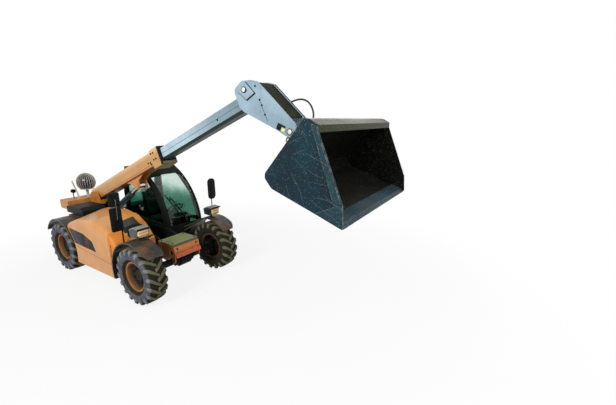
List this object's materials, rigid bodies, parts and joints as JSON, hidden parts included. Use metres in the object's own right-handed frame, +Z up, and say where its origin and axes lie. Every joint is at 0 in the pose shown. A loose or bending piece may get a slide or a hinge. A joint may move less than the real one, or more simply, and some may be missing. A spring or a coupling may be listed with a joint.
{
  "type": "compact telescopic handler",
  "caption": "Compact telescopic handler with a side cab, all-wheel steering, a telescopic boom and a wide tipping bucket, parked on its wheels with the boom raised.",
  "frame": {"origin": "on the ground, at the middle of the machine's outer box seen from above", "axes": "+X forward, +Y to the machine's left, +Z up"},
  "size_m": [6.6608, 1.84, 3.2557],
  "materials": {
    "orange_paint": "gloss paint, dusty",
    "rim_paint": "paint, dirty",
    "grey_paint": "pale grey-blue paint, worn",
    "cover_paint": "dull brown paint, dirty",
    "bucket_paint": "dark blue paint, scratched",
    "wear_steel": "worn steel",
    "black_steel": "black paint",
    "black_plastic": "grained",
    "cab_glass": "green tint",
    "seat_cover": "woven",
    "tyre": "dusty rubber",
    "cylinder_paint": "dark blue paint",
    "chrome_rod": "polished",
    "bar_paint": "red-orange paint",
    "guard_wire": "pale paint",
    "beacon_lens": "dark blue",
    "engine_iron": "cast",
    "hose_rubber": "matt"
  },
  "bodies": {
    "root": {"front_axle": "black_steel", "rear_axle": "black_steel", "chassis": "black_steel", "front_box": "orange_paint", "bumper_bar": "bar_paint", "rear_beam": "orange_paint", "counterweight": "black_steel", "hitch": "black_steel", "cab_frame": "black_steel", "cab_glass": "cab_glass", "seat_base": "black_steel", "seat_cushion": "seat_cover", "seat_back": "seat_cover", "controls": "black_plastic", "fuel_tank": "black_plastic", "entry_step": "black_steel", "front_cowl": "orange_paint", "side_skirt": "orange_paint", "bay_wall": "black_steel", "cowl_grille": "black_plastic", "engine": "engine_iron", "front_fenders": "black_plastic", "rear_fenders": "black_plastic", "lamp_housings": "black_plastic", "mirrors": "black_plastic", "rear_cover": "black_plastic", "beacon_guard": "guard_wire", "beacon_lens": "beacon_lens"},
    "boom": {"boom_tube": "orange_paint"},
    "fly": {"fly_tube": "grey_paint", "nose": "grey_paint", "nose_cover": "cover_paint", "tilt_barrel": "cylinder_paint", "nose_hose": "hose_rubber"},
    "bucket": {"carriage": "black_steel", "bucket": "bucket_paint", "cutting_edge": "wear_steel"},
    "lift_barrel": {"lift_barrel": "cylinder_paint"},
    "lift_rod": {"lift_rod": "chrome_rod"},
    "tilt_rod": {"tilt_rod": "chrome_rod"},
    "door": {"door_frame": "black_steel", "door_glass": "cab_glass"},
    "hood": {"hood_shell": "orange_paint", "hood_grille": "black_plastic"},
    "knuckle_front_right": {"knuckle_front_right": "black_steel"},
    "wheel_front_right": {"tyre_front_right": "tyre", "rim_front_right": "rim_paint"},
    "knuckle_front_left": {"knuckle_front_left": "black_steel"},
    "wheel_front_left": {"tyre_front_left": "tyre", "rim_front_left": "rim_paint"},
    "knuckle_rear_right": {"knuckle_rear_right": "black_steel"},
    "wheel_rear_right": {"tyre_rear_right": "tyre", "rim_rear_right": "rim_paint"},
    "knuckle_rear_left": {"knuckle_rear_left": "black_steel"},
    "wheel_rear_left": {"tyre_rear_left": "tyre", "rim_rear_left": "rim_paint"}
  },
  "joints": [
    {"name": "boom_lift", "type": "hinge", "parent": "root", "child": "boom", "pos_m": [-2.57643, 0, 1.29949], "axis": [0, -1, 0], "range_deg": [-28.5, 42]},
    {"name": "boom_extend", "type": "slide", "parent": "boom", "child": "fly", "axis": [0.9272, 0, 0.3746], "range_m": [-1.85, 0.05]},
    {"name": "bucket_tilt", "type": "hinge", "parent": "fly", "child": "bucket", "pos_m": [2.27278, 0, 2.65795], "axis": [0, 1, 0], "range_deg": [-69, 67]},
    {"name": "tilt_rod_slide", "type": "slide", "parent": "fly", "child": "tilt_rod", "axis": [0.7014, 0, -0.7128], "range_m": [-0.1271, 0.1309]},
    {"name": "lift_barrel_pivot", "type": "hinge", "parent": "root", "child": "lift_barrel", "pos_m": [-2.40643, 0, 0.91249], "axis": [0, -1, 0], "range_deg": [-27.15, 39.77]},
    {"name": "lift_rod_slide", "type": "slide", "parent": "lift_barrel", "child": "lift_rod", "axis": [0.8613, 0, 0.5081], "range_m": [-0.196, 0.2879]},
    {"name": "door_hinge", "type": "hinge", "parent": "root", "child": "door", "pos_m": [-1.91643, 0.892, 1.19949], "axis": [0, 0, 1], "range_deg": [0, 95]},
    {"name": "hood_hinge", "type": "hinge", "parent": "root", "child": "hood", "pos_m": [-1.35643, -0.232, 1.19549], "axis": [-1, 0, 0], "range_deg": [0, 60]},
    {"name": "steer_front_right", "type": "hinge", "parent": "root", "child": "knuckle_front_right", "pos_m": [-0.18643, -0.6475, 0.46149], "axis": [0, 0, 1], "range_deg": [-30, 30]},
    {"name": "roll_front_right", "type": "hinge", "parent": "knuckle_front_right", "child": "wheel_front_right", "pos_m": [-0.18643, -0.7475, 0.46149], "axis": [0, 1, 0], "continuous": true},
    {"name": "steer_front_left", "type": "hinge", "parent": "root", "child": "knuckle_front_left", "pos_m": [-0.18643, 0.6475, 0.46149], "axis": [0, 0, 1], "range_deg": [-30, 30]},
    {"name": "roll_front_left", "type": "hinge", "parent": "knuckle_front_left", "child": "wheel_front_left", "pos_m": [-0.18643, 0.7475, 0.46149], "axis": [0, 1, 0], "continuous": true},
    {"name": "steer_rear_right", "type": "hinge", "parent": "root", "child": "knuckle_rear_right", "pos_m": [-2.52643, -0.6475, 0.46149], "axis": [0, 0, -1], "range_deg": [-30, 30]},
    {"name": "roll_rear_right", "type": "hinge", "parent": "knuckle_rear_right", "child": "wheel_rear_right", "pos_m": [-2.52643, -0.7475, 0.46149], "axis": [0, 1, 0], "continuous": true},
    {"name": "steer_rear_left", "type": "hinge", "parent": "root", "child": "knuckle_rear_left", "pos_m": [-2.52643, 0.6475, 0.46149], "axis": [0, 0, -1], "range_deg": [-30, 30]},
    {"name": "roll_rear_left", "type": "hinge", "parent": "knuckle_rear_left", "child": "wheel_rear_left", "pos_m": [-2.52643, 0.7475, 0.46149], "axis": [0, 1, 0], "continuous": true}
  ],
  "couplings": [
    {"joint": "tilt_rod_slide", "follows": "bucket_tilt", "m_per_rad": -0.107},
    {"joint": "lift_barrel_pivot", "follows": "boom_lift", "ratio": 0.935},
    {"joint": "lift_rod_slide", "follows": "boom_lift", "m_per_rad": 0.39},
    {"joint": "steer_front_left", "follows": "steer_front_right", "ratio": 1},
    {"joint": "steer_rear_left", "follows": "steer_rear_right", "ratio": 1}
  ]
}
